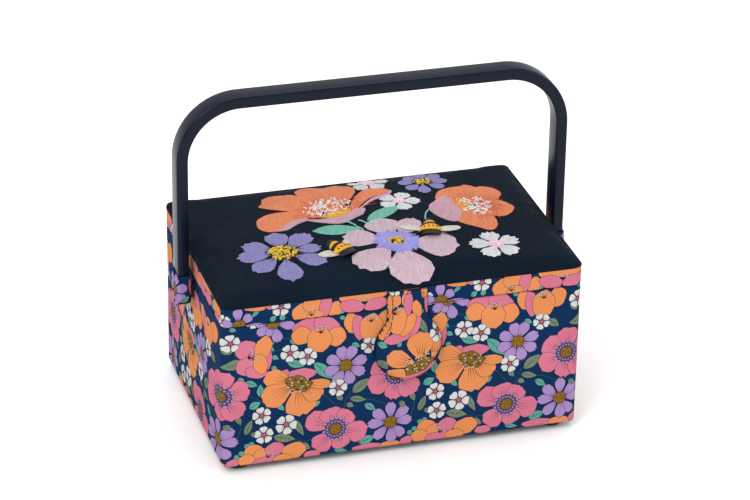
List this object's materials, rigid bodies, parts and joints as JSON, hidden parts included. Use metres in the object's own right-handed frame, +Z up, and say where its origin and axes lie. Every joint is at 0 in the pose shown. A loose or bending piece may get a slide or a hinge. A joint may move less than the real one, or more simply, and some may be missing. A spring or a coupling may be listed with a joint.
{
  "type": "sewing box with trays",
  "caption": "Fabric-covered sewing box with a padded embroidered lid, swinging bow handle, magnetic closure tab and lift-out trays.",
  "frame": {"origin": "on the floor under the middle of the footprint, closure tab included", "axes": "+Z up, +X to the right seen from the front, front faces -Y"},
  "size_m": [0.2868, 0.1792, 0.2507],
  "materials": {
    "print_cotton": "printed plain-weave cotton, floral on navy",
    "navy_cotton": "dark navy plain-weave cotton",
    "handle_plastic": "dark navy satin moulded plastic",
    "foot_plastic": "black satin plastic",
    "fibreboard": "thin fibreboard",
    "lining_cotton": "plain pink lining cotton",
    "base_cloth": "black non-woven cloth",
    "padding": "soft foam padding",
    "embroidery_thread": "satin-stitched rayon thread, several colours",
    "bee_felt": "padded felt and thread, yellow and black",
    "elastic": "narrow covered elastic",
    "steel": "zinc-plated steel",
    "magnet": "nickel-plated magnet",
    "rivet_brass": "plain brass",
    "spacer_plastic": "dark moulded plastic",
    "tray_plastic": "off-white moulded plastic"
  },
  "bodies": {
    "box": {"base_cloth": "base_cloth", "base_board": "fibreboard", "base_lining": "lining_cotton", "front_board": "fibreboard", "steel_disc": "steel", "back_board": "fibreboard", "left_board": "fibreboard", "right_board": "fibreboard", "front_lining": "lining_cotton", "back_lining": "lining_cotton", "left_lining": "lining_cotton", "right_lining": "lining_cotton", "left_tray_ledge": "lining_cotton", "right_tray_ledge": "lining_cotton", "outer_cover": "print_cotton", "hinge_strip": "print_cotton", "front_left_foot": "foot_plastic", "front_right_foot": "foot_plastic", "back_left_foot": "foot_plastic", "back_right_foot": "foot_plastic", "foot_screws": "steel", "handle_rivets": "rivet_brass", "handle_spacers": "spacer_plastic"},
    "lid": {"lid_board": "fibreboard", "lid_lining": "lining_cotton", "lid_front_rail": "fibreboard", "lid_back_rail": "fibreboard", "lid_left_rail": "fibreboard", "lid_right_rail": "fibreboard", "lid_rim_cover": "print_cotton", "lid_foam": "padding", "lid_panel": "navy_cotton", "embroidery": "embroidery_thread", "left_bee": "bee_felt", "right_bee": "bee_felt", "lid_pocket": "lining_cotton", "pocket_elastic": "elastic", "pincushion": "lining_cotton"},
    "tab": {"closure_tab": "print_cotton", "tab_magnet": "magnet"},
    "handle": {"handle_bow": "handle_plastic", "left_sleeve": "print_cotton", "right_sleeve": "print_cotton"},
    "upper_tray": {"upper_tray": "tray_plastic"},
    "lower_tray": {"lower_tray": "tray_plastic"}
  },
  "joints": [
    {"name": "lid_hinge", "type": "hinge", "parent": "box", "child": "lid", "pos_m": [0, 0.0888, 0.1153], "axis": [-1, 0, 0], "range_deg": [0, 100], "deforming": ["hinge_strip"]},
    {"name": "tab_lift", "type": "hinge", "parent": "lid", "child": "tab", "pos_m": [0, -0.0816, 0.1295], "axis": [-1, 0, 0], "range_deg": [0, 90]},
    {"name": "handle_swing", "type": "hinge", "parent": "box", "child": "handle", "pos_m": [0, 0.0038, 0.104], "axis": [-1, 0, 0], "range_deg": [0, 100]},
    {"name": "upper_tray_lift", "type": "slide", "parent": "box", "child": "upper_tray", "axis": [0, 0, 1], "range_m": [0, 0.053]},
    {"name": "lower_tray_lift", "type": "slide", "parent": "box", "child": "lower_tray", "axis": [0, 0, 1], "range_m": [0, 0.025]}
  ],
  "couplings": [
    {"joint": "handle_swing", "follows": "lid_hinge", "ratio": 1},
    {"joint": "upper_tray_lift", "follows": "lid_hinge", "m_per_rad": 0.03},
    {"joint": "lower_tray_lift", "follows": "lid_hinge", "m_per_rad": 0.014}
  ]
}
